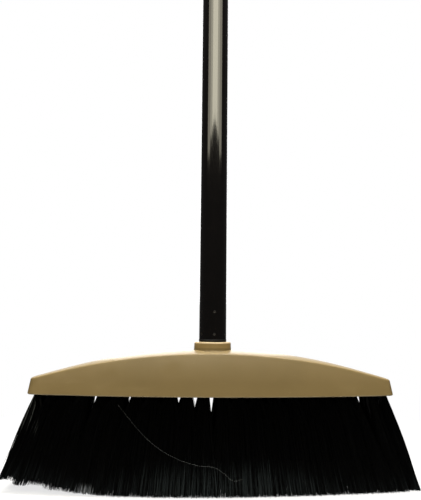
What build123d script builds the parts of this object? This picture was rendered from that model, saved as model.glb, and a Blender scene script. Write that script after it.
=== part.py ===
"""A floor broom: a moulded block with four rows of fanned bristle tufts, and a tube handle that screws into it.

Millimetres, +Z up. The origin is on the floor under the handle's axis, and X runs along the block.
Run by itself, the script writes one STEP file per piece to parts/.
"""

import os
from math import cos, radians, sin, sqrt, tan

from build123d import *

# Bristles
trim_length = 69.0  # from the block's underside to the floor
tuft_pitch = 13.0  # from tuft to tuft along a row
end_row_pitch = 6.3  # from row to row at the last tufts
end_fan = 18.5  # degrees that the last tufts lean outwards
side_fan = 7.0  # degrees that the outer rows lean outwards
hole_width = 4.8  # of the square hole that a tuft is driven into
hole_depth = 10.0
strand_root = 2.0  # side of a strand's section at the block
strand_fill = 0.7  # share of its own room that a strand takes up at the floor, each way
slice_thickness = 1.6  # of the slice of underside that a row stands in
slice_margin = 0.3  # of the slice, beside the holes
tuft_clearance = 0.1  # round each slice, each tuft's root and each anchor

# Anchors: flat wire driven across the bottom of each hole, with the tuft folded over it
anchor_thickness = 0.5
anchor_width = 1.8
anchor_bite = 0.4  # how far each end cuts into the hole's wall
anchor_cover = 1.4  # how much of the tuft lies over it

# Block
block_length = 288.0
block_height = 34.5  # at the middle, without the collar
end_margin = 7.0  # least distance from the last tufts to the block's end
row_margin = 6.5  # from the outer rows to the block's side
end_bulge = 2.0  # how far each end bows out
side_draft = 15.0  # degrees that the sides and ends lean in
hole_roof = 3.0  # least material over the last tuft holes
crown_radius = 88.0  # of the top, across the block
corner_radius = 6.0
top_edge_radius = 2.0
bottom_edge_radius = 0.8

# Collar and socket
collar_height = 6.0
collar_wall = 3.6  # beyond the handle's outside, at the rim
collar_land = 6.0  # from the rim out to the block's sides, at the crest
collar_draft = 3.0  # degrees
collar_rim_radius = 1.2
collar_root_radius = 2.0
socket_floor = 5.0  # between the socket and the tuft holes
socket_gap = 1.0  # under the handle's tip
socket_lead = 0.5  # chamfer at the socket's mouth

# Handle
handle_diameter = 22.2
handle_length = 1219.0  # from the end of its thread to the top of its cap
tube_wall = 0.5
thread_step = 1.575  # how far the thread stands in from the tube's outside
thread_clearance = 0.3
flange_thickness = 2.0
plug_length = 40.0  # of the tip, inside the tube
plug_clearance = 0.05
plug_wall = 3.5  # of the moulded tip
plug_chamfer = 1.0
tip_chamfer = 2.0

# Crimps that hold the tip in the tube
crimp_count = 6
crimp_first = 4.0  # above the tube's end
crimp_spacing = 18.0
crimp_turn = 4.0  # degrees round from the front
crimp_radius = 1.6  # of the four-sided mark that the punch leaves
crimp_depth = 0.45
groove_clearance = 0.35  # round the crimps, in the tip's grooves

# Hang cap
cap_plug = 18.0  # inside the tube
cap_shoulder = 5.0  # height of the cap's round foot
cap_slope = 5.0  # height of the slope from the foot to the tongue
cap_thickness = 11.0  # of the tongue
cap_land = 2.4  # between the slope and the hanging hole
cap_edge = 1.0  # chamfer round the hanging hole
cap_inset = 0.25  # of the cap, inside the tube's outside
hang_hole_diameter = 9.0

# Radii round the handle's axis
tube_radius = handle_diameter / 2
bore_radius = tube_radius - tube_wall
plug_radius = bore_radius - plug_clearance
thread_radius = tube_radius - thread_step
socket_radius = thread_radius + thread_clearance
collar_radius = tube_radius + collar_wall
cap_radius = tube_radius - cap_inset
hang_hole_radius = hang_hole_diameter / 2

# Heights above the floor
underside = trim_length
crest = underside + block_height
collar_top = crest + collar_height
socket_bottom = underside + hole_depth + socket_floor
tip_bottom = socket_bottom + socket_gap
tube_bottom = collar_top + flange_thickness
cap_top = tip_bottom + handle_length
hang_hole_z = cap_top - cap_radius
cap_foot_top = hang_hole_z - hang_hole_radius - cap_land - cap_slope
tube_top = cap_foot_top - cap_shoulder
crimp_heights = [tube_bottom + crimp_first, tube_bottom + crimp_first + crimp_spacing]

# The tuft field. The outer and inner rows lie 1.5 and 0.5 row pitches from the block's middle
outer_row = 1.5
inner_row = 0.5
four_ways = [(-1, -1), (1, -1), (1, 1), (-1, 1)]
block_depth = 2 * (collar_radius + collar_land + block_height * tan(radians(side_draft)))
row_pitch = (block_depth / 2 - row_margin) / outer_row
columns_each_side = int((block_length / 2 - end_margin) / tuft_pitch + 0.5)
column_x = [(n + 0.5) * tuft_pitch for n in range(-columns_each_side, columns_each_side)]
last_x = column_x[-1]
root_side = hole_width - 2 * tuft_clearance

# The crest is an arc that leaves hole_roof over the last tuft holes
last_hole_rise = hole_depth * cos(radians(end_fan)) + hole_width / 2 * sin(radians(end_fan))
crest_drop = block_height - last_hole_rise - hole_roof
crest_radius = (last_x**2 + crest_drop**2) / (2 * crest_drop)


def row_y(row, x):
    """Y of a row at x: an arc from its place at the middle to its place at the last tufts."""
    sag = row * (row_pitch - end_row_pitch)
    radius = (last_x**2 + sag**2) / (2 * sag)
    return row * row_pitch - radius + sqrt(radius**2 - x**2)


def floor_x(x):
    """Where a tuft rooted at x meets the floor, along the block."""
    return x + trim_length * tan(radians(end_fan * x / last_x))


def floor_y(y):
    """Where a tuft rooted at y meets the floor, across the block."""
    return y + trim_length * tan(radians(side_fan * y / (outer_row * row_pitch)))


def corners(x, y, z, half_x, half_y, slope=0):
    """Corners of a level four-sided figure about a point, with two sides that follow a row's slope."""
    return [(x + i * half_x, y + i * half_x * slope + j * half_y, z) for i, j in four_ways]


def polygon(*corners):
    return Face(Wire.make_polygon(corners))


class Tuft:
    """One tuft of a row: its hole in the block, its folded root, its strands and its anchor."""

    def __init__(self, row, x):
        y = row_y(row, x)
        half_pitch = row_y(1, x) / 2
        self.slope = (row_y(row, x + tuft_pitch / 2) - row_y(row, x - tuft_pitch / 2)) / tuft_pitch
        self.root = (x, y)
        self.floor = (floor_x(x), floor_y(y))
        self.spread_x = (floor_x(x + tuft_pitch / 2) - floor_x(x - tuft_pitch / 2)) / 4
        self.spread_y = (floor_y(y + half_pitch) - floor_y(y - half_pitch)) / 4
        lean_x = (self.floor[0] - x) / trim_length
        lean_y = (self.floor[1] - y) / trim_length
        along = (1, self.slope, lean_x + lean_y * self.slope)
        self.axis = Plane((x, y, underside), x_dir=along, z_dir=(-lean_x, -lean_y, 1))
        self.anchor_place = self.axis * Pos(0, 0, hole_depth - anchor_cover - anchor_width / 2)

    def hole(self):
        hole = Box(hole_width, hole_width, hole_depth + hole_width, align=(Align.CENTER, Align.CENTER, Align.MAX))
        return self.axis * Pos(0, 0, hole_depth) * hole

    def folded_root(self):
        top = hole_depth - tuft_clearance
        height = top - 0.75 * slice_thickness
        root = Box(root_side, root_side, height, align=(Align.CENTER, Align.CENTER, Align.MAX))
        slot_width = anchor_width + 2 * tuft_clearance
        slot = Box(2 * root_side, anchor_thickness + 2 * tuft_clearance, slot_width)
        return self.axis * Pos(0, 0, top) * root - self.anchor_place * slot

    def anchor(self):
        return self.anchor_place * Box(hole_width + 2 * anchor_bite, anchor_thickness, anchor_width)

    def strands(self):
        """Four four-sided strands that spread from the corners of the tuft's root."""
        half_root = strand_root / 2
        root_spread = root_side / 2 - half_root
        root_z = underside + slice_thickness / 4
        roots = corners(*self.root, root_z, root_spread, root_spread, self.slope)
        tips = corners(*self.floor, 0, self.spread_x, self.spread_y, self.slope)
        half_x, half_y = strand_fill * self.spread_x, strand_fill * self.spread_y
        strands = []
        for root_middle, tip_middle in zip(roots, tips):
            root = corners(*root_middle, half_root, half_root, self.slope)
            tip = corners(*tip_middle, half_x, half_y, self.slope)
            sides = [polygon(root[n - 1], root[n], tip[n], tip[n - 1]) for n in range(4)]
            strands.append(Solid(Shell([polygon(*root), polygon(*tip)] + sides)))
        return strands


def row_tufts(row):
    return [Tuft(row, x) for x in column_x]


def row_slice(row, clearance):
    """The slice of underside that a row stands in, or with a clearance the groove for it."""
    half_width = hole_width / 2 + slice_margin + clearance
    end = last_x + half_width
    low, middle_low = row_y(row, end) - half_width, row_y(row, 0) - half_width
    high, middle_high = row_y(row, end) + half_width, row_y(row, 0) + half_width
    front = ThreePointArc((-end, low), (0, middle_low), (end, low))
    back = ThreePointArc((end, high), (0, middle_high), (-end, high))
    ends = [Line((end, low), (end, high)), Line((-end, high), (-end, low))]
    return extrude(Pos(0, 0, underside) * make_face(Curve() + [front, back] + ends), slice_thickness)


def block_outline(height):
    """The block's plan outline at a height above its underside."""
    inset = height * tan(radians(side_draft))
    end_x = block_length / 2 - end_bulge
    end_y = row_y(outer_row, end_x) + row_margin - inset
    side_y = block_depth / 2 - inset
    end_x -= inset
    front = ThreePointArc((-end_x, -end_y), (0, -side_y), (end_x, -end_y))
    right = ThreePointArc((end_x, -end_y), (end_x + end_bulge, 0), (end_x, end_y))
    back = ThreePointArc((end_x, end_y), (0, side_y), (-end_x, end_y))
    left = ThreePointArc((-end_x, end_y), (-end_x - end_bulge, 0), (-end_x, -end_y))
    outline = make_face(Curve() + [front, right, back, left])
    rounding = min(corner_radius, 0.8 * end_y)
    return Pos(0, 0, underside + height) * fillet(outline.vertices(), rounding)


def block_top():
    """A crowned rim, as of a wide wheel, whose outside is the block's top surface."""
    half_width = block_depth / 2
    rim_z = crest - crown_radius + sqrt(crown_radius**2 - half_width**2)
    low_z = underside - block_height
    rim = ThreePointArc((half_width, rim_z), (0, crest), (-half_width, rim_z))
    sides = Polyline((-half_width, rim_z), (-half_width, low_z), (half_width, low_z), (half_width, rim_z))
    axle = Axis((0, 0, crest - crest_radius), (0, 1, 0))
    half_turn = 25
    section = (Plane.YZ * make_face(Curve() + [rim, sides])).rotate(axle, -half_turn)
    return revolve(section, axle, 2 * half_turn)


def turned(*outline):
    """A solid of revolution about the handle's axis, from points of radius and height."""
    return revolve(Plane.XZ * make_face(Polyline(*outline, close=True)), Axis.Z)


def make_collar():
    """The round collar on top of the block, flared at its root, without its socket."""
    lean = tan(radians(collar_draft))
    front_z = crest - crown_radius + sqrt(crown_radius**2 - collar_radius**2)
    flare_z = front_z + 0.6 * collar_root_radius
    flare_top = (collar_radius + (collar_top - flare_z) * lean, flare_z)
    flare = JernArc(flare_top, (lean, -1), collar_root_radius, 45)
    foot = flare @ 1
    foot_z = foot.Y - collar_height
    rest = Polyline(foot, (foot.X, foot_z), (0, foot_z), (0, collar_top), (collar_radius, collar_top), flare_top)
    collar = revolve(Plane.XZ * make_face(Curve() + [flare, rest]), Axis.Z)
    rim = collar.edges().filter_by(GeomType.CIRCLE).sort_by(Axis.Z)[-1]
    return fillet(rim, collar_rim_radius)


def make_socket():
    """The hollow that the handle's tip screws into, with a lead-in at its mouth."""
    return turned(
        (0, socket_bottom),
        (socket_radius, socket_bottom),
        (socket_radius, collar_top - socket_lead),
        (socket_radius + socket_lead, collar_top),
        (0, collar_top),
    )


def make_block():
    """The moulded block with its collar, its socket, the tuft holes and the grooves for the rows' slices."""
    sides = loft([block_outline(0), block_outline(block_height + top_edge_radius)], ruled=True)
    body = sides & block_top()
    body = fillet(body.faces().filter_by(GeomType.TORUS)[0].edges(), top_edge_radius)
    body = fillet(body.faces().sort_by(Axis.Z)[0].edges(), bottom_edge_radius)
    body = body + make_collar() - make_socket()
    cuts = []
    for row in (outer_row, inner_row):
        cuts.append(row_slice(row, tuft_clearance))
        cuts += [tuft.hole() for tuft in row_tufts(row)]
    return body - cuts - [mirror(cut, Plane.XZ) for cut in cuts]


def make_bristles(row):
    """A row of tufts at the back of the block, with the slice of underside that they stand in."""
    pieces = []
    for tuft in row_tufts(row):
        pieces.append(tuft.folded_root())
        pieces += tuft.strands()
    return row_slice(row, 0).fuse(*pieces)


def make_anchors(row):
    """The anchors of a row at the back of the block."""
    return Compound([tuft.anchor().solid() for tuft in row_tufts(row)])


def punch(point_radius, angle, z):
    """A four-sided punch driven in towards the handle's axis, with its point at a radius."""
    half_side = 3 * crimp_radius / sqrt(2)
    base = corners(0, 0, 3 * crimp_depth, half_side, half_side)
    sides = [polygon((0, 0, 0), base[n - 1], base[n]) for n in range(4)]
    out = Vector(cos(angle), sin(angle), 0)
    place = Plane(out * point_radius + Vector(0, 0, z), z_dir=out)
    return place * Rot(0, 0, 45) * Solid(Shell([polygon(*base)] + sides))


def make_tube():
    """The handle's tube, with the crimps that grip its tip."""
    upright = (Align.CENTER, Align.CENTER, Align.MIN)
    length = tube_top - tube_bottom
    foot = Pos(0, 0, tube_bottom)
    tube = foot * (Cylinder(tube_radius, length, align=upright) - Cylinder(bore_radius, length, align=upright))
    core = foot * Cylinder(tube_radius - tube_wall / 2, length, align=upright)
    places = []
    for z in crimp_heights:
        places += [(radians(crimp_turn - 90 + n * 360 / crimp_count), z) for n in range(crimp_count)]
    bumps = [core & punch(bore_radius - crimp_depth, angle, z) for angle, z in places]
    dents = [punch(tube_radius - crimp_depth, angle, z) for angle, z in places]
    return tube.fuse(*bumps) - dents


def make_tip():
    """The moulded tip: a threaded shank, a flange that bears on the collar, and a plug inside the tube."""
    plug_top = tube_bottom + plug_length
    core_radius = plug_radius - plug_wall
    core_floor = tip_bottom + plug_wall
    groove_half = crimp_radius + groove_clearance
    groove_radius = bore_radius - crimp_depth - groove_clearance
    outline = [
        (0, tip_bottom),
        (thread_radius - tip_chamfer, tip_bottom),
        (thread_radius, tip_bottom + tip_chamfer),
        (thread_radius, collar_top),
        (tube_radius, collar_top),
        (tube_radius, tube_bottom),
        (plug_radius, tube_bottom),
    ]
    for z in crimp_heights:
        outline += [(plug_radius, z - groove_half), (groove_radius, z - groove_half)]
        outline += [(groove_radius, z + groove_half), (plug_radius, z + groove_half)]
    outline += [
        (plug_radius, plug_top - plug_chamfer),
        (plug_radius - plug_chamfer, plug_top),
        (core_radius, plug_top),
        (core_radius, core_floor),
        (0, core_floor),
    ]
    return turned(*outline)


def make_hang_cap():
    """The moulded cap: a plug in the tube, a round foot, and a domed tongue with the hanging hole."""
    plug_bottom = tube_top - cap_plug
    body = Polyline(
        (0, cap_top),
        (0, plug_bottom),
        (plug_radius - plug_chamfer, plug_bottom),
        (plug_radius, plug_bottom + plug_chamfer),
        (plug_radius, tube_top),
        (cap_radius, tube_top),
        (cap_radius, hang_hole_z),
    )
    dome = CenterArc((0, hang_hole_z), cap_radius, 0, 90)
    cap = revolve(Plane.XZ * make_face(Curve() + [body, dome]), Axis.Z)
    side = cap_thickness / 2
    flank = Polyline(
        (side, cap_top),
        (side, cap_foot_top + cap_slope),
        (cap_radius, cap_foot_top),
        (handle_diameter, cap_foot_top),
        (handle_diameter, cap_top),
        close=True,
    )
    flank = extrude(Plane.YZ * make_face(flank), handle_diameter, both=True)
    hole = Pos(0, 0, hang_hole_z) * Rot(90, 0, 0) * Cylinder(hang_hole_radius, handle_diameter)
    cap = cap - flank - mirror(flank, Plane.XZ) - hole
    circles = cap.edges().filter_by(GeomType.CIRCLE)
    hole_edges = [edge for edge in circles if edge.is_closed and edge.center().Z > cap_foot_top]
    return chamfer(hole_edges, cap_edge)


pieces = {
    "block": make_block(),
    "handle_tube": make_tube(),
    "threaded_tip": make_tip(),
    "hang_cap": make_hang_cap(),
}
for place, row in {"outer": outer_row, "inner": inner_row}.items():
    for kind, made in {"bristles": make_bristles(row), "anchors": make_anchors(row)}.items():
        pieces[f"back_{place}_{kind}"] = made
        pieces[f"front_{place}_{kind}"] = mirror(made, Plane.XZ)

os.makedirs("parts", exist_ok=True)
for name, piece in pieces.items():
    export_step(piece, f"parts/{name}.step")
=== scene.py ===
"""Looks of the floor broom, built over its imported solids.

Metres, +Z up. The origin is on the floor under the handle's axis, X runs along the block and -Y faces
the camera.
"""

import math

import bmesh
import bpy
from mathutils import Matrix, Vector


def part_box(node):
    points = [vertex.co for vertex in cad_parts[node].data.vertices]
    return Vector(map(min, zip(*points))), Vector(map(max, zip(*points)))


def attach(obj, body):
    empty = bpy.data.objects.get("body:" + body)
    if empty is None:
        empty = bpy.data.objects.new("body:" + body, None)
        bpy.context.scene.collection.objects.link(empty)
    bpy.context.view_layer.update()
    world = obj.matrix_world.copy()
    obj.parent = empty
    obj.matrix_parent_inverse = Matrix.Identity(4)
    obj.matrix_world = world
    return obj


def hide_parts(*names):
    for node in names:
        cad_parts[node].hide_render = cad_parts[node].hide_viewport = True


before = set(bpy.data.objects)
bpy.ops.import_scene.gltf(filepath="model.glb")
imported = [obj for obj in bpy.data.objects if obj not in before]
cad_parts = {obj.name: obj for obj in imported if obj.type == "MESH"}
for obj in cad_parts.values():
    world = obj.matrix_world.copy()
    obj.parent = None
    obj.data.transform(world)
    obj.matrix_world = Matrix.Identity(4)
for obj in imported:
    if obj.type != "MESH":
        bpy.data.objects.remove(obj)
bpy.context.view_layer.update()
mm = 0.001

# Where the solids are
block_low, block_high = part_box("block")
tube_low, tube_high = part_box("handle_tube")
tip_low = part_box("threaded_tip")[0]
underside = block_low.z
collar_top = block_high.z
tube_radius = tube_high.x

# The tuft field, with the rows counted in row pitches from the block's middle
columns = 22
tuft_pitch = 13.0 * mm
row_pitch = 15.63 * mm
end_row_pitch = 6.3 * mm
end_fan = math.radians(18.5)
side_fan = math.radians(7.0)
rows = {"front_outer": -1.5, "front_inner": -0.5, "back_inner": 0.5, "back_outer": 1.5}

# The block's ends
end_blend = 118.0 * mm
end_square = 0.13
end_rush = 1.3

# Filaments
filaments_per_tuft = 190
filament_radius = 0.21 * mm
filament_points = 7
filament_wander = 0.9 * mm
root_sink = 1.2 * mm
root_width = 6.2 * mm
tip_spill = 0.7
flare = 8.0
wedge_flare = 1.8
# Gaps between tufts that stand open under the block, counted from the middle: how far they open, and how
# much tighter the roots beside them stand
open_gaps = {
    -7: (1.12, 0.0),
    -5: (0.92, 0.0),
    -2: (0.83, 0.0),
    -1: (0.9, 0.0),
    0: (1.13, 0.0),
    9: (1.12, 0.68),
}
outer_spill = 0.2
outer_crowd = 3.5
corner_splay = 0.7
end_bow = 2.0 * mm
right_set = 2.6 * mm
trim_scatter = 1.4 * mm
worn_from = -70.0 * mm
worn_run = 95.0 * mm
worn_rise = 9.5 * mm
worn_scatter = 1.2 * mm
fray_place = -93.0 * mm
split_ends_per_tuft = 300
split_end_radius = 0.11 * mm
split_from = 0.66
split_points = 5
split_wander = 1.1 * mm

# Crimps in the tube, as rows of four-sided punch marks
crimp_count = 6
crimp_heights = (4.0 * mm, 22.0 * mm)
crimp_turn = math.radians(4.0)
crimp_reach = 1.6 * mm
crimp_depth = 0.45 * mm
tube_wall = 0.5 * mm

# Thread on the tip and in the socket
thread_lead = 5.08 * mm
thread_crest = 9.525 * mm
thread_core = 8.35 * mm
socket_wall = 9.825 * mm
socket_crest = 8.75 * mm
shank_chamfer = 2.0 * mm
thread_runout = 1.6 * mm

# Camera, at the photograph's place
camera_place = Vector((-22.1, -446.2, 123.6)) * mm
camera_yaw = math.radians(-2.53)
camera_pitch = math.radians(7.75)
camera_roll = math.radians(0.55)
focal_px = 544.0
frame_height_px = 500.0
sensor_mm = 36.0


def srgb(red, green, blue):
    """A colour from 0 to 255 as a linear one with alpha."""
    linear = []
    for level in (red, green, blue):
        part = level / 255.0
        linear.append(part / 12.92 if part <= 0.04045 else ((part + 0.055) / 1.055) ** 2.4)
    return (*linear, 1.0)


class Nodes:
    """A node tree that is being filled, with short ways to add what it uses most."""

    def __init__(self, tree):
        self.tree = tree

    def put(self, socket, value):
        """Links a socket to an output, or sets its value."""
        if isinstance(value, bpy.types.NodeSocket):
            self.tree.links.new(value, socket)
        else:
            socket.default_value = value

    def add(self, kind, inputs=None, **settings):
        node = self.tree.nodes.new(kind)
        for name, value in settings.items():
            setattr(node, name, value)
        for key, value in (inputs or {}).items():
            self.put(node.inputs[key], value)
        return node

    def math(self, operation, *values):
        node = self.add("ShaderNodeMath", operation=operation)
        for socket, value in zip(node.inputs, values):
            self.put(socket, value)
        return node.outputs[0]

    def vector_math(self, operation, *values):
        node = self.add("ShaderNodeVectorMath", operation=operation)
        for socket, value in zip(node.inputs, values):
            self.put(socket, value)
        return node.outputs[0]

    def scaled(self, vector, factor):
        given = {"Vector": vector, "Scale": factor}
        return self.add("ShaderNodeVectorMath", given, operation="SCALE").outputs[0]

    def mix(self, data_type, label, factor, first, second):
        """A mix of two values of one type, whose sockets carry its label."""
        given = {"Factor_Float": factor, "A_" + label: first, "B_" + label: second}
        node = self.add("ShaderNodeMix", data_type=data_type)
        for socket in node.inputs:
            if socket.identifier in given:
                self.put(socket, given[socket.identifier])
        return [socket for socket in node.outputs if socket.identifier == "Result_" + label][0]

    def between(self, first, second, factor):
        """A vector part of the way from one to another."""
        return self.mix("VECTOR", "Vector", factor, first, second)

    def point(self, x, y, z):
        return self.add("ShaderNodeCombineXYZ", {"X": x, "Y": y, "Z": z}).outputs[0]

    def ramp(self, value, from_low, from_high, to_low=0.0, to_high=1.0):
        """A value eased from one range to another."""
        given = {"Value": value, "From Min": from_low, "From Max": from_high}
        given.update({"To Min": to_low, "To Max": to_high})
        return self.add("ShaderNodeMapRange", given, interpolation_type="SMOOTHSTEP").outputs[0]

    def noise(self, vector, scale, detail=2.0, roughness=0.5):
        given = {"Vector": vector, "Scale": scale, "Detail": detail, "Roughness": roughness}
        return self.add("ShaderNodeTexNoise", given).outputs[0]

    def blend(self, factor, first, second):
        """A mix of two colours."""
        return self.mix("RGBA", "Color", factor, first, second)

    def group(self, tree, **values):
        node = self.add("ShaderNodeGroup", node_tree=tree)
        for name, value in values.items():
            self.put(node.inputs[name.replace("_", " ")], value)
        return node


def new_tree(name, kind, inputs, outputs):
    """An empty node group with its named sockets, and its input and output nodes."""
    tree = bpy.data.node_groups.new(name, kind)
    for label, socket_type, default in inputs:
        socket = tree.interface.new_socket(label, in_out="INPUT", socket_type=socket_type)
        if default is not None:
            socket.default_value = default
    for label, socket_type in outputs:
        tree.interface.new_socket(label, in_out="OUTPUT", socket_type=socket_type)
    return tree, tree.nodes.new("NodeGroupInput").outputs, tree.nodes.new("NodeGroupOutput").inputs


number, whole, vector_socket = "NodeSocketFloat", "NodeSocketInt", "NodeSocketVector"


# Effects that several finishes share


def make_grain_group():
    """The fine pebbling of a moulded surface, as a height."""
    sockets = [("Vector", vector_socket, None), ("Scale", number, 900.0), ("Waviness", number, 0.4)]
    tree, given, out = new_tree("moulded grain", "ShaderNodeTree", sockets, [("Height", number)])
    nodes = Nodes(tree)
    fine = nodes.noise(given["Vector"], given["Scale"], detail=3.0)
    wide = nodes.noise(given["Vector"], nodes.math("MULTIPLY", given["Scale"], 0.03), detail=1.0)
    nodes.put(out["Height"], nodes.math("ADD", fine, nodes.math("MULTIPLY", wide, given["Waviness"])))
    return tree


def make_scuff_group():
    """Long faint rubs and small nicks, as a mask."""
    sockets = [("Vector", vector_socket, None), ("Scale", number, 30.0), ("Amount", number, 0.5)]
    tree, given, out = new_tree("scuffs", "ShaderNodeTree", sockets, [("Mask", number)])
    nodes = Nodes(tree)
    stretched = nodes.vector_math("MULTIPLY", given["Vector"], (1.0, 1.0, 6.0))
    rubs = nodes.noise(stretched, given["Scale"], detail=6.0, roughness=0.7)
    nicks = nodes.noise(given["Vector"], nodes.math("MULTIPLY", given["Scale"], 9.0), detail=2.0)
    rub_mask = nodes.ramp(rubs, 0.55, 0.8)
    nick_mask = nodes.ramp(nicks, 0.7, 0.78)
    both = nodes.math("ADD", rub_mask, nick_mask)
    mask = nodes.add("ShaderNodeClamp", {"Value": nodes.math("MULTIPLY", both, given["Amount"])}).outputs[0]
    nodes.put(out["Mask"], mask)
    return tree


def make_mottle_group():
    """Slow cloudy change over a surface, from -1 to 1."""
    sockets = [("Vector", vector_socket, None), ("Scale", number, 25.0)]
    tree, given, out = new_tree("mottle", "ShaderNodeTree", sockets, [("Value", number)])
    nodes = Nodes(tree)
    cloud = nodes.noise(given["Vector"], given["Scale"], detail=4.0, roughness=0.6)
    nodes.put(out["Value"], nodes.math("MULTIPLY_ADD", cloud, 2.0, -1.0))
    return tree


grain_group = make_grain_group()
scuff_group = make_scuff_group()
mottle_group = make_mottle_group()


class Finish(Nodes):
    """A material with one Principled shader, and the shared effects on Object coordinates."""

    def __init__(self, name, **sockets):
        self.material = bpy.data.materials.new(name)
        self.material.use_nodes = True
        super().__init__(self.material.node_tree)
        self.shader = self.tree.nodes["Principled BSDF"]
        for label, value in sockets.items():
            self.set(label, value)
        self.place = self.add("ShaderNodeTexCoord").outputs["Object"]

    def set(self, label, value):
        self.put(self.shader.inputs[label.replace("_", " ")], value)

    def bump(self, height, strength, distance):
        given = {"Height": height, "Strength": strength, "Distance": distance}
        self.set("Normal", self.add("ShaderNodeBump", given).outputs["Normal"])

    def mottle(self, scale):
        return self.group(mottle_group, Vector=self.place, Scale=scale).outputs["Value"]

    def scuffs(self, scale, amount):
        return self.group(scuff_group, Vector=self.place, Scale=scale, Amount=amount).outputs["Mask"]

    def grain(self, scale, waviness):
        return self.group(grain_group, Vector=self.place, Scale=scale, Waviness=waviness).outputs["Height"]

    def attribute(self, name):
        return self.add("ShaderNodeAttribute", attribute_name=name).outputs["Fac"]


def make_tan_plastic():
    finish = Finish("tan moulded plastic", Specular_IOR_Level=0.24)
    tone = finish.ramp(finish.mottle(22.0), -0.5, 0.5)
    colour = finish.blend(tone, srgb(119, 102, 68), srgb(125, 107, 72))
    scuffs = finish.scuffs(26.0, 0.35)
    colour = finish.blend(scuffs, colour, srgb(142, 124, 89))
    height = finish.add("ShaderNodeSeparateXYZ", {"Vector": finish.place}).outputs["Z"]
    above = finish.math("SUBTRACT", height, underside)
    # Lighter towards the bottom edge.
    colour = finish.blend(finish.ramp(above, 12.0 * mm, 1.0 * mm, 0.0, 0.45), colour, srgb(140, 121, 83))
    # Painted highlight along the rounded bottom edge, standing for the floor's reflection there, broken up by
    # mottle.
    edge_top = finish.ramp(above, 1.1 * mm, 0.5 * mm)
    edge = finish.math("MULTIPLY", edge_top, finish.ramp(above, 0.02 * mm, 0.1 * mm))
    painted_edge_highlight = finish.math("MULTIPLY", edge, finish.ramp(finish.mottle(70.0), -0.6, 0.3, 0.3, 0.8))
    colour = finish.blend(painted_edge_highlight, colour, srgb(186, 170, 140))
    # Painted light: the collar's side is coloured lighter, because the lamps leave it darker than the block's
    # front.
    painted_collar_light = finish.ramp(height, collar_top - 5.2 * mm, collar_top - 4.2 * mm, 0.0, 0.6)
    colour = finish.blend(painted_collar_light, colour, srgb(156, 133, 90))
    # Painted highlight along the collar's top rim, standing for the top softbox's reflection there.
    below_rim = finish.math("SUBTRACT", collar_top, height)
    rim_highlight_foot = finish.ramp(below_rim, 1.5 * mm, 0.9 * mm)
    rim = finish.math("MULTIPLY", rim_highlight_foot, finish.ramp(below_rim, 0.1 * mm, 0.4 * mm))
    colour = finish.blend(rim, colour, srgb(214, 192, 158))
    # Lighter on faces that point up.
    normal = finish.place.node.outputs["Normal"]
    facing_up = finish.add("ShaderNodeSeparateXYZ", {"Vector": normal}).outputs["Z"]
    paling = finish.ramp(facing_up, 0.55, 0.95, 0.0, 0.25)
    finish.set("Base_Color", finish.blend(paling, colour, srgb(190, 170, 134)))
    finish.set("Roughness", finish.math("MULTIPLY_ADD", scuffs, 0.1, 0.3))
    finish.bump(finish.grain(1100.0, 0.5), 0.12, 0.0002)
    return finish.material


def make_black_coating():
    finish = Finish("black gloss coating", Coat_Roughness=0.09)
    tone = finish.ramp(finish.mottle(60.0), -0.5, 0.5)
    colour = finish.blend(tone, srgb(7, 5, 4), srgb(11, 8, 7))
    bare = finish.attribute("bare")
    finish.set("Base_Color", finish.blend(bare, colour, srgb(19, 16, 14)))
    finish.set("Metallic", finish.math("MULTIPLY", bare, 0.1))
    finish.set("Coat_Weight", finish.math("SUBTRACT", 1.0, bare))
    smooth = finish.math("MULTIPLY_ADD", finish.scuffs(40.0, 0.4), 0.1, 0.1)
    finish.set("Roughness", finish.math("MULTIPLY_ADD", bare, 0.45, smooth))
    finish.bump(finish.grain(140.0, 0.6), 0.008, 0.0002)
    return finish.material


def make_dark_plastic(name, level, roughness):
    finish = Finish(name, Specular_IOR_Level=0.2)
    tone = finish.ramp(finish.mottle(45.0), -0.5, 0.5)
    colour = finish.blend(tone, srgb(level - 3, level - 3, level - 3), srgb(level + 3, level + 3, level + 3))
    scuffs = finish.scuffs(60.0, 0.4)
    finish.set("Base_Color", finish.blend(scuffs, colour, srgb(level + 22, level + 22, level + 20)))
    finish.set("Roughness", finish.math("MULTIPLY_ADD", scuffs, 0.2, roughness))
    finish.bump(finish.grain(900.0, 0.4), 0.15, 0.0002)
    return finish.material


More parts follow.
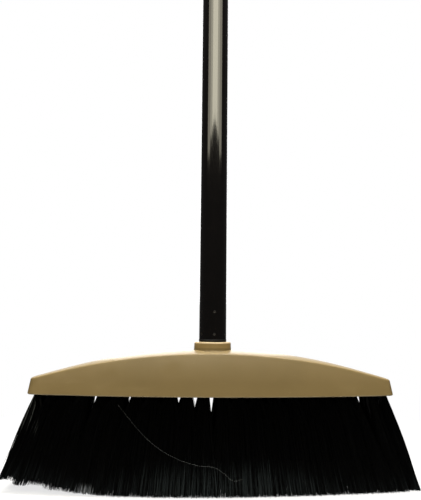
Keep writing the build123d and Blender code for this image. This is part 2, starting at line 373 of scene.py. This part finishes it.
def make_bristle():
    """Black filament, dusty and a little bleached towards the floor."""
    finish = Finish("black filament", Specular_IOR_Level=0.07)
    along = finish.attribute("along")
    strand = finish.attribute("strand")
    ragged = finish.math("FRACT", finish.math("MULTIPLY", strand, 37.0))
    across = finish.add("ShaderNodeSeparateXYZ", {"Vector": finish.place}).outputs["X"]
    from_middle = finish.math("ABSOLUTE", finish.math("SUBTRACT", across, 5.0 * mm))
    towards_end = finish.ramp(from_middle, 30.0 * mm, 100.0 * mm)
    start = finish.math("MULTIPLY_ADD", towards_end, -0.14, finish.math("MULTIPLY_ADD", ragged, -0.16, along))
    paling = finish.math("MULTIPLY", finish.ramp(start, 0.56, 0.86), finish.ramp(strand, 0.3, 1.0))
    paling = finish.math("MULTIPLY", paling, finish.math("MULTIPLY_ADD", towards_end, -0.5, 1.0))
    colour = finish.blend(paling, srgb(1, 1, 1), srgb(55, 62, 65))
    from_fray = finish.math("ABSOLUTE", finish.math("SUBTRACT", across, fray_place))
    frayed = finish.ramp(from_fray, 7.5 * mm, 2.5 * mm, 0.0, 0.42)
    chosen = finish.math("GREATER_THAN", finish.math("ADD", strand, frayed), 1.0)
    bleached = finish.math("MULTIPLY", chosen, finish.ramp(along, 0.9, 0.98))
    # Painted highlight: some filaments at the block's left end are lighter towards their roots, standing for
    # gloss streaks.
    at_left = finish.ramp(across, -131.0 * mm, -134.0 * mm)
    left_end = finish.math("MULTIPLY", at_left, finish.ramp(along, 0.5, 0.3))
    painted_gleam = finish.math("MULTIPLY", left_end, finish.ramp(strand, 0.75, 0.85))
    colour = finish.blend(painted_gleam, colour, srgb(84, 87, 87))
    finish.set("Base_Color", finish.blend(bleached, colour, srgb(188, 195, 208)))
    finish.set("Roughness", finish.math("MULTIPLY_ADD", along, 0.15, 0.32))
    return finish.material


def make_anchor_wire():
    finish = Finish("flat steel wire", Metallic=1.0)
    tone = finish.ramp(finish.mottle(300.0), -0.5, 0.5)
    finish.set("Base_Color", finish.blend(tone, srgb(150, 150, 146), srgb(185, 184, 178)))
    finish.set("Roughness", finish.math("MULTIPLY_ADD", finish.scuffs(200.0, 0.6), 0.2, 0.32))
    return finish.material


tan_plastic = make_tan_plastic()
black_coating = make_black_coating()
tip_plastic = make_dark_plastic("black tip plastic", 7, 0.55)
cap_plastic = make_dark_plastic("black cap plastic", 22, 0.42)
bristle = make_bristle()
anchor_wire = make_anchor_wire()


# Pieces


def dress(piece, material, slot, body, *nodes):
    """Gives a piece its finish, its body and the CAD nodes that it stands for."""
    piece.data.materials.clear()
    piece.data.materials.append(material)
    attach(piece, body)
    if nodes:
        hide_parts(*nodes)
    return piece


def new_piece(name, mesh):
    piece = bpy.data.objects.new(name, mesh)
    bpy.context.scene.collection.objects.link(piece)
    return piece


def solid_copy(node, name, crease=math.radians(28.0), change=None):
    """A merged and smoothly shaded copy of a CAD node, after a change to its mesh."""
    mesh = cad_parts[node].data.copy()
    work = bmesh.new()
    work.from_mesh(mesh)
    bmesh.ops.remove_doubles(work, verts=work.verts, dist=0.001 * mm)
    if change:
        change(work)
    work.to_mesh(mesh)
    work.free()
    mesh.polygons.foreach_set("use_smooth", [True] * len(mesh.polygons))
    mesh.set_sharp_from_angle(angle=crease)
    return new_piece(name, mesh)


def grown(name, tree, **values):
    """A piece made by a geometry node tree, as a plain mesh."""
    seed_piece = new_piece(name + "_seed", bpy.data.meshes.new(name + "_seed"))
    modifier = seed_piece.modifiers.new(name, "NODES")
    modifier.node_group = tree
    identifiers = {item.name: item.identifier for item in tree.interface.items_tree if item.in_out == "INPUT"}
    for label, value in values.items():
        modifier[identifiers[label.replace("_", " ")]] = value
    bpy.context.view_layer.update()
    evaluated = seed_piece.evaluated_get(bpy.context.evaluated_depsgraph_get())
    mesh = bpy.data.meshes.new_from_object(evaluated)
    seed_piece.modifiers.remove(modifier)
    bpy.data.objects.remove(seed_piece)
    mesh.name = name
    return new_piece(name, mesh)


def make_row_tree():
    """One row of tufts: filaments that stand close in their holes and fan out to the floor."""
    sockets = [
        ("Geometry", "NodeSocketGeometry", None),
        ("Columns", whole, columns),
        ("Tuft Pitch", number, tuft_pitch),
        ("Row Place", number, 1.5),
        ("Row Pitch", number, row_pitch),
        ("End Row Pitch", number, end_row_pitch),
        ("End Fan", number, end_fan),
        ("Side Fan", number, side_fan),
        ("Trim Length", number, underside),
        ("Root Width", number, root_width),
        ("Filaments", whole, filaments_per_tuft),
        ("Points", whole, filament_points),
        ("Start", number, 0.0),
        ("Wander", number, filament_wander),
        ("Filament Radius", number, filament_radius),
        ("Tip Spill", number, tip_spill),
        ("Flare", number, flare),
        ("Wedge Flare", number, wedge_flare),
        ("Trim Scatter", number, trim_scatter),
        ("Outer Spill", number, 0.65),
        ("Inner Spill", number, 0.65),
        ("Outer Crowd", number, 1.0),
        ("Corner Splay", number, 0.0),
        ("End Bow", number, end_bow),
        ("Right Set", number, right_set),
        ("Worn From", number, worn_from),
        ("Worn Rise", number, worn_rise),
        ("Seed", whole, 1),
        ("Column Seed", whole, 4582),
        ("Material", "NodeSocketMaterial", None),
    ]
    outputs = [("Geometry", "NodeSocketGeometry")]
    tree, given, out = new_tree("bristle row", "GeometryNodeTree", sockets, outputs)
    nodes = Nodes(tree)
    do = nodes.math

    def chance(low, high, number_of, salt, base=None):
        """A random number for each filament or tuft, or for a column where the base is the columns' seed."""
        seed = do("ADD", base or given["Seed"], salt)
        node = nodes.add("FunctionNodeRandomValue", data_type="FLOAT")
        for socket in node.inputs:
            value = {"Min_001": low, "Max_001": high, "ID": number_of, "Seed": seed}.get(socket.identifier)
            if value is not None:
                nodes.put(socket, value)
        return [socket for socket in node.outputs if socket.identifier == "Value_001"][0]

    index = nodes.add("GeometryNodeInputIndex").outputs[0]
    tuft = do("FLOOR", do("DIVIDE", do("ADD", index, 0.5), given["Filaments"]))
    middle = do("MULTIPLY", do("SUBTRACT", given["Columns"], 1.0), 0.5)
    last_x = do("MULTIPLY", middle, given["Tuft Pitch"])
    x = do("MULTIPLY", do("SUBTRACT", tuft, middle), given["Tuft Pitch"])
    reach = do("DIVIDE", x, last_x)
    drawn_in = do("SUBTRACT", given["Row Pitch"], given["End Row Pitch"])
    narrowing = do("MULTIPLY", drawn_in, do("POWER", reach, 2.0))
    pitch_here = do("SUBTRACT", given["Row Pitch"], narrowing)
    y = do("MULTIPLY", given["Row Place"], pitch_here)

    lean_x = do("TANGENT", do("MULTIPLY", given["End Fan"], reach))
    side_turn = do("DIVIDE", given["Side Fan"], do("MULTIPLY", given["Row Pitch"], 1.5))
    lean_y = do("TANGENT", do("MULTIPLY", side_turn, y))
    growth_x = do("MULTIPLY_ADD", do("DIVIDE", given["End Fan"], last_x), given["Trim Length"], 1.0)
    growth_y = do("MULTIPLY_ADD", side_turn, given["Trim Length"], 1.0)
    room_x = do("MULTIPLY", given["Tuft Pitch"], growth_x)
    room_y = do("MULTIPLY", pitch_here, growth_y)

    across = chance(-0.5, 0.5, index, 1)
    even = chance(0.0, 1.0, index, 2)
    outward = do("SIGN", given["Row Place"])
    span = do("ADD", given["Outer Spill"], given["Inner Spill"])
    inward = do("MULTIPLY", do("POWER", even, given["Outer Crowd"]), span)
    corner = do("MULTIPLY", do("POWER", do("ABSOLUTE", reach), 4.0), given["Corner Splay"])
    deep = do("MULTIPLY", do("SUBTRACT", do("ADD", given["Outer Spill"], corner), inward), outward)
    root_deep = do("MULTIPLY", do("SUBTRACT", 0.5, even), outward)
    strand = chance(0.0, 1.0, index, 3)
    stray = do("MULTIPLY_ADD", do("GREATER_THAN", strand, 0.975), 2.2, 1.0)
    wander = do("MULTIPLY", stray, given["Wander"])
    gap = do("ADD", tuft, do("GREATER_THAN", across, 0.0))
    from_middle = do("MULTIPLY_ADD", given["Columns"], -0.5, gap)
    openness = do("MULTIPLY", chance(0.0, 1.0, gap, 10, given["Column Seed"]), 0.2)
    looseness = 1.0
    for place, (amount, tightness) in open_gaps.items():
        here = do("COMPARE", from_middle, place, 0.1)
        openness = do("MAXIMUM", openness, do("MULTIPLY", here, amount))
        looseness = do("MULTIPLY_ADD", here, -tightness, looseness)
    quick = do("MULTIPLY_ADD", openness, do("SUBTRACT", given["Wedge Flare"], given["Flare"]), given["Flare"])
    fullness = chance(0.95, 1.1, tuft, 11)
    root = nodes.point(x, y, do("ADD", given["Trim Length"], root_sink))
    floor_x = do("MULTIPLY_ADD", lean_x, given["Trim Length"], x)
    end_side = do("GREATER_THAN", do("MULTIPLY", across, reach), 0.0)
    end_zone = nodes.ramp(do("ABSOLUTE", reach), 0.85, 0.98)
    end_hold = do("MULTIPLY", end_zone, end_side)
    end_room = do("MULTIPLY_ADD", end_hold, -1.06, 1.0)
    root_room = do("MULTIPLY", end_room, looseness)
    root_across = do("MULTIPLY", do("MULTIPLY", across, given["Root Width"]), root_room)
    close = nodes.point(root_across, do("MULTIPLY", root_deep, given["Root Width"]), 0.0)
    room_x = do("MULTIPLY", do("MULTIPLY", room_x, fullness), end_room)
    shove = chance(-0.5, 0.5, index, 13)
    past_end = do("MULTIPLY", do("GREATER_THAN", do("MULTIPLY", shove, reach), 0.0), end_zone)
    spill = do("MULTIPLY", given["Tip Spill"], do("SUBTRACT", 1.0, past_end))
    spread_x = do("MULTIPLY", do("MULTIPLY_ADD", shove, spill, across), room_x)
    spread = nodes.point(spread_x, do("MULTIPLY", deep, room_y), 0.0)
    worn = nodes.ramp(do("SUBTRACT", given["Worn From"], do("ADD", floor_x, spread_x)), 0.0, worn_run)
    clump = do("MULTIPLY_ADD", chance(0.0, 1.0, tuft, 6), 0.55, 0.6)
    rounding = do("MULTIPLY_ADD", do("POWER", do("ABSOLUTE", across), 2.0), 1.4, clump)
    rise = do("MULTIPLY", do("MULTIPLY", worn, rounding), given["Worn Rise"])
    uneven = do("MULTIPLY_ADD", worn, worn_scatter, given["Trim Scatter"])
    floor_z = do("MULTIPLY_ADD", do("POWER", chance(0.0, 1.0, index, 7), 2.0), uneven, rise)
    length = do("SUBTRACT", given["Trim Length"], floor_z)
    tip = nodes.point(do("MULTIPLY_ADD", lean_x, length, x), do("MULTIPLY_ADD", lean_y, length, y), floor_z)
    face_side = do("GREATER_THAN", do("MULTIPLY", deep, outward), 0.0)
    face_hold = do("MULTIPLY", face_side, do("GREATER_THAN", given["Outer Crowd"], 1.5))
    ease = nodes.point(do("SUBTRACT", 1.0, end_hold), do("SUBTRACT", 1.0, face_hold), 0.0)
    settled = nodes.ramp(reach, 0.6, 1.0, 0.0, given["Right Set"])
    bend = nodes.point(
        do("SUBTRACT", do("MULTIPLY", chance(-1.0, 1.0, index, 8), wander), settled),
        do("MULTIPLY", chance(-1.0, 1.0, index, 9), wander),
        0.0,
    )
    outside = do("MULTIPLY", do("MULTIPLY", end_hold, do("SIGN", reach)), given["End Bow"])
    bow = nodes.point(do("MULTIPLY", outside, do("POWER", chance(0.0, 1.0, index, 12), 8.0)), 0.0, 0.0)

    count = do("MULTIPLY", given["Columns"], given["Filaments"])
    points = nodes.add("GeometryNodePoints", {"Count": count}).outputs[0]
    for label, value, kind in [
        ("root", root, "FLOAT_VECTOR"),
        ("tip", tip, "FLOAT_VECTOR"),
        ("close", close, "FLOAT_VECTOR"),
        ("spread", spread, "FLOAT_VECTOR"),
        ("ease", ease, "FLOAT_VECTOR"),
        ("bend", bend, "FLOAT_VECTOR"),
        ("bow", bow, "FLOAT_VECTOR"),
        ("quick", quick, "FLOAT"),
        ("strand", strand, "FLOAT"),
    ]:
        store = nodes.add("GeometryNodeStoreNamedAttribute", data_type=kind, domain="POINT")
        nodes.put(store.inputs["Geometry"], points)
        nodes.put(store.inputs["Name"], label)
        nodes.put(store.inputs["Value"], value)
        points = store.outputs[0]

    line = nodes.add("GeometryNodeCurvePrimitiveLine").outputs[0]
    line = nodes.add("GeometryNodeResampleCurve", {"Curve": line, "Count": given["Points"]}).outputs[0]
    hairs = nodes.add("GeometryNodeInstanceOnPoints", {"Points": points, "Instance": line}).outputs[0]
    hairs = nodes.add("GeometryNodeRealizeInstances", {"Geometry": hairs}).outputs[0]

    def kept(label, kind="FLOAT_VECTOR"):
        read = nodes.add("GeometryNodeInputNamedAttribute", data_type=kind)
        nodes.put(read.inputs["Name"], label)
        return read.outputs[0]

    factor = nodes.add("GeometryNodeSplineParameter").outputs["Factor"]
    along = do("MULTIPLY_ADD", do("SUBTRACT", 1.0, given["Start"]), factor, given["Start"])
    opened = do("SUBTRACT", 1.0, do("POWER", do("SUBTRACT", 1.0, along), kept("quick", "FLOAT")))
    middle_line = nodes.between(kept("root"), kept("tip"), along)
    ahead = do("SUBTRACT", opened, along)
    lead = nodes.point(ahead, ahead, 0.0)
    step = nodes.vector_math("MULTIPLY_ADD", kept("ease"), lead, nodes.point(along, along, 0.0))
    travel = nodes.vector_math("SUBTRACT", kept("spread"), kept("close"))
    offset = nodes.vector_math("MULTIPLY_ADD", travel, step, kept("close"))
    curl = nodes.scaled(kept("bend"), do("POWER", along, 2.0))
    arch = do("MULTIPLY", do("MULTIPLY", along, do("SUBTRACT", 1.0, along)), 4.0)
    curl = nodes.vector_math("ADD", curl, nodes.scaled(kept("bow"), arch))
    path = nodes.vector_math("ADD", nodes.vector_math("ADD", middle_line, offset), curl)
    hairs = nodes.add("GeometryNodeSetPosition", {"Geometry": hairs, "Position": path}).outputs[0]
    store = nodes.add("GeometryNodeStoreNamedAttribute", data_type="FLOAT", domain="POINT")
    nodes.put(store.inputs["Geometry"], hairs)
    nodes.put(store.inputs["Name"], "along")
    nodes.put(store.inputs["Value"], along)
    round_off = {"Resolution": 3, "Radius": given["Filament Radius"]}
    section = nodes.add("GeometryNodeCurvePrimitiveCircle", round_off)
    strands = nodes.add(
        "GeometryNodeCurveToMesh",
        {
            "Curve": store.outputs[0],
            "Profile Curve": section.outputs[0],
            "Scale": nodes.ramp(along, 0.85, 1.0, 1.0, 0.85),
            "Fill Caps": True,
        },
    ).outputs[0]
    for label in ("root", "tip", "close", "spread", "ease", "bend", "bow", "quick"):
        clear = nodes.add("GeometryNodeRemoveAttribute", {"Geometry": strands})
        nodes.put(clear.inputs["Name"], label)
        strands = clear.outputs[0]
    strands = nodes.add("GeometryNodeRealizeInstances", {"Geometry": strands}).outputs[0]
    done = nodes.add("GeometryNodeSetMaterial", {"Geometry": strands, "Material": given["Material"]})
    nodes.put(out["Geometry"], done.outputs[0])
    return tree


def make_thread_tree():
    """A helical ridge between two radii, with flat flanks that lean."""
    sockets = [
        ("Geometry", "NodeSocketGeometry", None),
        ("Base Radius", number, thread_core),
        ("Crest Radius", number, thread_crest),
        ("Base Width", number, 3.0 * mm),
        ("Crest Width", number, 1.8 * mm),
        ("Lead", number, thread_lead),
        ("Turns", number, 3.0),
        ("Start Height", number, 0.0),
        ("Start Turn", number, 0.0),
        ("Material", "NodeSocketMaterial", None),
    ]
    tree, given, out = new_tree("thread", "GeometryNodeTree", sockets, [("Geometry", "NodeSocketGeometry")])
    nodes = Nodes(tree)
    do = nodes.math
    helix = nodes.add(
        "GeometryNodeCurveSpiral",
        {
            "Resolution": 72,
            "Rotations": given["Turns"],
            "Start Radius": given["Base Radius"],
            "End Radius": given["Base Radius"],
            "Height": do("MULTIPLY", given["Turns"], given["Lead"]),
            "Reverse": True,
        },
    ).outputs[0]
    helix = nodes.add("GeometryNodeSetCurveNormal", {"Curve": helix}, mode="Z_UP").outputs[0]
    section = nodes.add("GeometryNodeCurvePrimitiveQuadrilateral", mode="POINTS")
    rise = do("SUBTRACT", given["Crest Radius"], given["Base Radius"])
    base = do("MULTIPLY", given["Base Width"], 0.5)
    crest = do("MULTIPLY", given["Crest Width"], 0.5)
    nodes.put(section.inputs["Point 1"], nodes.point(0.0, base, 0.0))
    nodes.put(section.inputs["Point 2"], nodes.point(rise, crest, 0.0))
    nodes.put(section.inputs["Point 3"], nodes.point(rise, do("MULTIPLY", crest, -1.0), 0.0))
    nodes.put(section.inputs["Point 4"], nodes.point(0.0, do("MULTIPLY", base, -1.0), 0.0))
    sweep = {"Curve": helix, "Profile Curve": section.outputs[0], "Fill Caps": True}
    ridge = nodes.add("GeometryNodeCurveToMesh", sweep)
    outward = do("GREATER_THAN", rise, 0.0)
    facing = nodes.add("GeometryNodeFlipFaces", {"Mesh": ridge.outputs[0], "Selection": outward})
    place = nodes.add("GeometryNodeTransform", {"Geometry": facing.outputs[0]})
    nodes.put(place.inputs["Translation"], nodes.point(0.0, 0.0, given["Start Height"]))
    nodes.put(place.inputs["Rotation"], nodes.point(0.0, 0.0, given["Start Turn"]))
    solid = nodes.add("GeometryNodeRealizeInstances", {"Geometry": place.outputs[0]}).outputs[0]
    done = nodes.add("GeometryNodeSetMaterial", {"Geometry": solid, "Material": given["Material"]})
    nodes.put(out["Geometry"], done.outputs[0])
    return tree


def make_block():
    """The block, with its two ends drawn up a little steeper than its sides."""

    def steepen(work):
        for vert in work.verts:
            beyond = (abs(vert.co.x) - end_blend) / (block_high.x - end_blend)
            if beyond > 0.0:
                share = min(1.0, beyond * end_rush)
                push = end_square * share * share * (vert.co.z - underside)
                vert.co.x += math.copysign(push, vert.co.x)

    body = solid_copy("block", "block_body", change=steepen)
    return dress(body, tan_plastic, "tan_plastic", "head", "block")


def make_bristles():
    """Each row's filaments, and the strip of the block's underside that they stand in."""
    tree = make_row_tree()

    def without_strands(work):
        low = [vert for vert in work.verts if vert.co.z < underside - 0.01 * mm]
        bmesh.ops.delete(work, geom=low, context="VERTS")
        bmesh.ops.holes_fill(work, edges=[edge for edge in work.edges if edge.is_boundary], sides=0)

    for number_of, (row, place) in enumerate(rows.items()):
        node = row + "_bristles"
        settings = {"Row_Place": place, "Seed": number_of * 20 + 3, "Material": bristle}
        if abs(place) > 1.0:
            settings.update(Outer_Spill=outer_spill, Outer_Crowd=outer_crowd, Corner_Splay=corner_splay)
        tufts = grown(row + "_filaments", tree, **settings)
        dress(tufts, bristle, "bristle", "head", node)
        settings.update(Filaments=split_ends_per_tuft, Filament_Radius=split_end_radius, Points=split_points)
        settings.update(Start=split_from, Wander=split_wander, End_Bow=0.0, Seed=settings["Seed"] + 400)
        ends = grown(row + "_split_ends", tree, **settings)
        dress(ends, bristle, "bristle", "head", node)
        strip = solid_copy(node, row + "_strip", change=without_strands)
        dress(strip, tan_plastic, "tan_plastic", "head", node)
        dress(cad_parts[row + "_anchors"], anchor_wire, "anchor_wire", "head")


def make_tube():
    """The handle's tube, finely divided, with its crimps pressed in and worn bare at their points."""
    segments = 144
    crimp_zone = crimp_heights[1] + 2.5 * crimp_reach
    zone_rings = 56
    heights = [tube_low.z + crimp_zone * n / zone_rings for n in range(zone_rings)]
    plain_rings = 24
    rest = tube_high.z - tube_low.z - crimp_zone
    heights += [tube_low.z + crimp_zone + rest * n / plain_rings for n in range(plain_rings + 1)]

    def dent(angle, z):
        """How far into the nearest crimp a point is, from 0 at its edge to 1 at its point."""
        step = 2.0 * math.pi / crimp_count
        off = (angle - crimp_turn + math.pi / 2.0 + step / 2.0) % step - step / 2.0
        beside = abs(off) * tube_radius
        above = min(abs(z - tube_low.z - height) for height in crimp_heights)
        return max(0.0, 1.0 - (beside + above) / crimp_reach)

    work = bmesh.new()
    bare = work.verts.layers.float.new("bare")
    walls = []
    for wall_radius in (tube_radius, tube_radius - tube_wall):
        rings = []
        for z in heights:
            ring = []
            for n in range(segments):
                angle = 2.0 * math.pi * n / segments
                depth = dent(angle, z)
                radius = wall_radius - crimp_depth * depth
                vert = work.verts.new((radius * math.cos(angle), radius * math.sin(angle), z))
                vert[bare] = min(1.0, depth * 2.5)
                ring.append(vert)
            rings.append(ring)
        walls.append(rings)
    outer, inner = walls
    strips = list(zip(outer, outer[1:])) + list(zip(inner[1:], inner))
    strips += [(inner[0], outer[0]), (outer[-1], inner[-1])]
    for low, high in strips:
        for n in range(segments):
            work.faces.new((low[n - 1], low[n], high[n], high[n - 1]))
    mesh = bpy.data.meshes.new("tube")
    work.to_mesh(mesh)
    work.free()
    mesh.polygons.foreach_set("use_smooth", [True] * len(mesh.polygons))
    mesh.set_sharp_from_angle(angle=math.radians(40.0))
    return dress(new_piece("tube", mesh), black_coating, "black_coating", "handle", "handle_tube")


def make_tip():
    """The moulded tip, turned down to its thread's core, with its own ridge and the socket's."""

    def turn_down(work):
        for vert in work.verts:
            if vert.co.z < collar_top - 0.01 * mm:
                radius = vert.co.xy.length
                if radius > thread_core:
                    vert.co.xy *= thread_core / radius

    shank = solid_copy("threaded_tip", "tip_moulding", change=turn_down)
    dress(shank, tip_plastic, "tip_plastic", "handle", "threaded_tip")
    tree = make_thread_tree()
    start = tip_low.z + shank_chamfer + thread_runout
    turns = (collar_top - start - thread_runout) / thread_lead
    ridge = grown("tip_thread", tree, Turns=turns, Start_Height=start, Material=tip_plastic)
    dress(ridge, tip_plastic, "tip_plastic", "handle")
    socket_start = start - thread_lead / 2.0
    socket = grown(
        "socket_thread",
        tree,
        Base_Radius=socket_wall + 0.08 * mm,
        Crest_Radius=socket_crest,
        Base_Width=2.4 * mm,
        Crest_Width=1.2 * mm,
        Turns=(collar_top - thread_runout - socket_start) / thread_lead,
        Start_Height=socket_start,
        Material=tan_plastic,
    )
    dress(socket, tan_plastic, "tan_plastic", "head")


def make_hang_cap():
    return dress(solid_copy("hang_cap", "cap_moulding"), cap_plastic, "cap_plastic", "hang_cap", "hang_cap")


def make_stray_hair():
    """One long pale hair caught across the front of the bristles."""
    route = [(-71, -31, 64), (-59, -33, 50.5), (-46, -34.5, 38), (-30.5, -36, 28.5), (-12, -37.3, 22.5)]
    route += [(1, -38.3, 21), (7, -39.2, 17.5), (14, -40, 12.6), (20, -40.2, 13.6)]
    curve = bpy.data.curves.new("stray_hair", "CURVE")
    curve.dimensions = "3D"
    curve.bevel_depth = 0.09 * mm
    curve.bevel_resolution = 0
    curve.use_fill_caps = True
    curve.resolution_u = 8
    spline = curve.splines.new("BEZIER")
    spline.bezier_points.add(len(route) - 1)
    for knot, place in zip(spline.bezier_points, route):
        knot.co = Vector(place) * mm
        knot.handle_left_type = "AUTO"
        knot.handle_right_type = "AUTO"
    drawn = new_piece("stray_hair_curve", curve)
    bpy.context.view_layer.update()
    mesh = bpy.data.meshes.new_from_object(drawn.evaluated_get(bpy.context.evaluated_depsgraph_get()))
    bpy.data.objects.remove(drawn)
    finish = Finish("pale hair", Roughness=0.5)
    tone = finish.ramp(finish.mottle(120.0), -0.4, 0.4)
    colour = finish.blend(tone, srgb(38, 41, 42), srgb(72, 76, 76))
    along = finish.add("ShaderNodeSeparateXYZ", {"Vector": finish.place}).outputs["X"]
    # Painted shade: the hair is darker towards its left start, where it runs in among the bristles.
    shaded_in_bristles = finish.ramp(along, -72.0 * mm, -40.0 * mm, 1.0, 0.0)
    finish.set("Base_Color", finish.blend(shaded_in_bristles, colour, srgb(12, 12, 12)))
    return dress(new_piece("stray_hair", mesh), finish.material, "bristle", "head")


# Stage


def make_floor():
    """A pale floor that the camera sees as white, apart from the broom's shadow."""
    floor_radius = 0.4
    sides = 64
    mesh = bpy.data.meshes.new("floor")
    turns = [2.0 * math.pi * n / sides for n in range(sides)]
    rim = [(floor_radius * math.cos(turn), floor_radius * math.sin(turn), -0.5 * mm) for turn in turns]
    mesh.from_pydata(rim, [], [range(sides)])
    floor = new_piece("floor", mesh)
    finish = bpy.data.materials.new("pale floor")
    finish.use_nodes = True
    nodes = Nodes(finish.node_tree)
    shader = finish.node_tree.nodes["Principled BSDF"]
    shader.inputs["Roughness"].default_value = 0.9
    shader.inputs["Specular IOR Level"].default_value = 0.0
    shader.inputs["Emission Color"].default_value = (1.0, 1.0, 1.0, 1.0)
    seen = nodes.add("ShaderNodeLightPath").outputs
    mirrored = nodes.math("MAXIMUM", seen["Is Glossy Ray"], seen["Is Transmission Ray"])
    place = nodes.add("ShaderNodeTexCoord").outputs["Object"]
    away = nodes.add("ShaderNodeVectorMath", {"Vector": place}, operation="LENGTH").outputs["Value"]
    direct = nodes.math("MULTIPLY", seen["Is Camera Ray"], nodes.ramp(away, 0.2, 0.36, 0.75, 1.0))
    mirrored = nodes.math("MULTIPLY", mirrored, nodes.ramp(away, 0.06, 0.39, 0.75, 0.04))
    nearby = nodes.ramp(away, 0.1, 0.39, 1.0, 0.0)
    nodes.put(shader.inputs["Base Color"], nodes.blend(nearby, srgb(30, 30, 30), srgb(137, 137, 137)))
    nodes.put(shader.inputs["Emission Strength"], nodes.math("MAXIMUM", direct, mirrored))
    below = nodes.add("ShaderNodeNewGeometry").outputs["Backfacing"]
    nodes.put(shader.inputs["Alpha"], nodes.math("SUBTRACT", 1.0, below))
    mesh.materials.append(finish)


def make_world():
    """White where the camera looks and behind the broom, and a dim room for everything else."""
    world = bpy.data.worlds.new("studio")
    bpy.context.scene.world = world
    world.use_nodes = True
    nodes = Nodes(world.node_tree)
    background = world.node_tree.nodes["Background"]
    seen = nodes.add("ShaderNodeLightPath").outputs
    facing = nodes.add("ShaderNodeTexCoord").outputs["Generated"]
    behind = nodes.ramp(nodes.add("ShaderNodeSeparateXYZ", {"Vector": facing}).outputs["Y"], 0.85, 0.95)
    mirrored = nodes.math("MAXIMUM", seen["Is Glossy Ray"], seen["Is Transmission Ray"])
    white = nodes.math("MAXIMUM", seen["Is Camera Ray"], nodes.math("MULTIPLY", mirrored, behind))
    background.inputs["Color"].default_value = (1.0, 1.0, 1.0, 1.0)
    nodes.put(background.inputs["Strength"], nodes.math("MAXIMUM", white, 0.04))


def make_lamp(name, place, aim, size, radiance, tint):
    """A flat softbox of a given brightness."""
    lamp = bpy.data.lights.new(name, "AREA")
    lamp.shape = "RECTANGLE"
    lamp.size, lamp.size_y = size
    lamp.energy = radiance * math.pi * size[0] * size[1]
    lamp.color = tint
    piece = bpy.data.objects.new(name, lamp)
    piece.location = place
    piece.rotation_euler = (Vector(aim) - Vector(place)).to_track_quat("-Z", "Y").to_euler()
    piece.visible_camera = False
    bpy.context.scene.collection.objects.link(piece)


def make_front_panels():
    """Softbox panels on an arc before the broom, brightest in the middle and lower at the sides."""
    away = 0.8
    top = 1.3
    tint = (1.0, 0.94, 0.74)
    for turn, half_turn, low, radiance in [
        (0.0, 22.0, 0.595, 6.3),
        (-31.0, 9.0, 0.56, 3.5),
        (31.0, 9.0, 0.56, 3.5),
        (-51.0, 11.0, 0.515, 2.0),
        (51.0, 11.0, 0.515, 2.0),
    ]:
        middle = (low + top) / 2.0
        place = Vector((math.sin(math.radians(turn)), -math.cos(math.radians(turn)), 0.0)) * away
        width = 2.0 * away * math.tan(math.radians(half_turn))
        name = "front panel at %d degrees" % turn
        place.z = middle
        make_lamp(name, place, (0.0, 0.0, middle), (width, top - low), radiance, tint)


def make_camera():
    cosine = math.cos(camera_pitch)
    forward = Vector((-math.sin(camera_yaw) * cosine, math.cos(camera_yaw) * cosine, math.sin(camera_pitch)))
    level = Vector((math.cos(camera_yaw), math.sin(camera_yaw), 0.0))
    upright = level.cross(forward)
    right = math.cos(camera_roll) * level + math.sin(camera_roll) * upright
    up = math.cos(camera_roll) * upright - math.sin(camera_roll) * level
    lens = bpy.data.cameras.new("camera")
    lens.sensor_width = sensor_mm
    lens.lens = focal_px / frame_height_px * sensor_mm
    lens.clip_start = 0.01
    camera = bpy.data.objects.new("camera", lens)
    turned = Matrix((right, up, -forward)).transposed().to_4x4()
    camera.matrix_world = Matrix.Translation(camera_place) @ turned
    bpy.context.scene.collection.objects.link(camera)
    bpy.context.scene.camera = camera


make_block()
make_bristles()
make_tube()
make_tip()
make_hang_cap()
make_stray_hair()
make_floor()
make_world()
make_front_panels()
make_lamp("top softbox", (0.0, 0.25, 2.3), (0.0, 0.0, 0.1), (2.0, 1.4), 12.5, (1.0, 0.98, 0.94))
make_lamp("back softbox", (0.0, 1.6, 0.95), (0.0, 0.0, 0.95), (0.8, 1.5), 2.5, (1.0, 1.0, 1.0))
make_camera()
bpy.context.scene.view_settings.view_transform = "Standard"
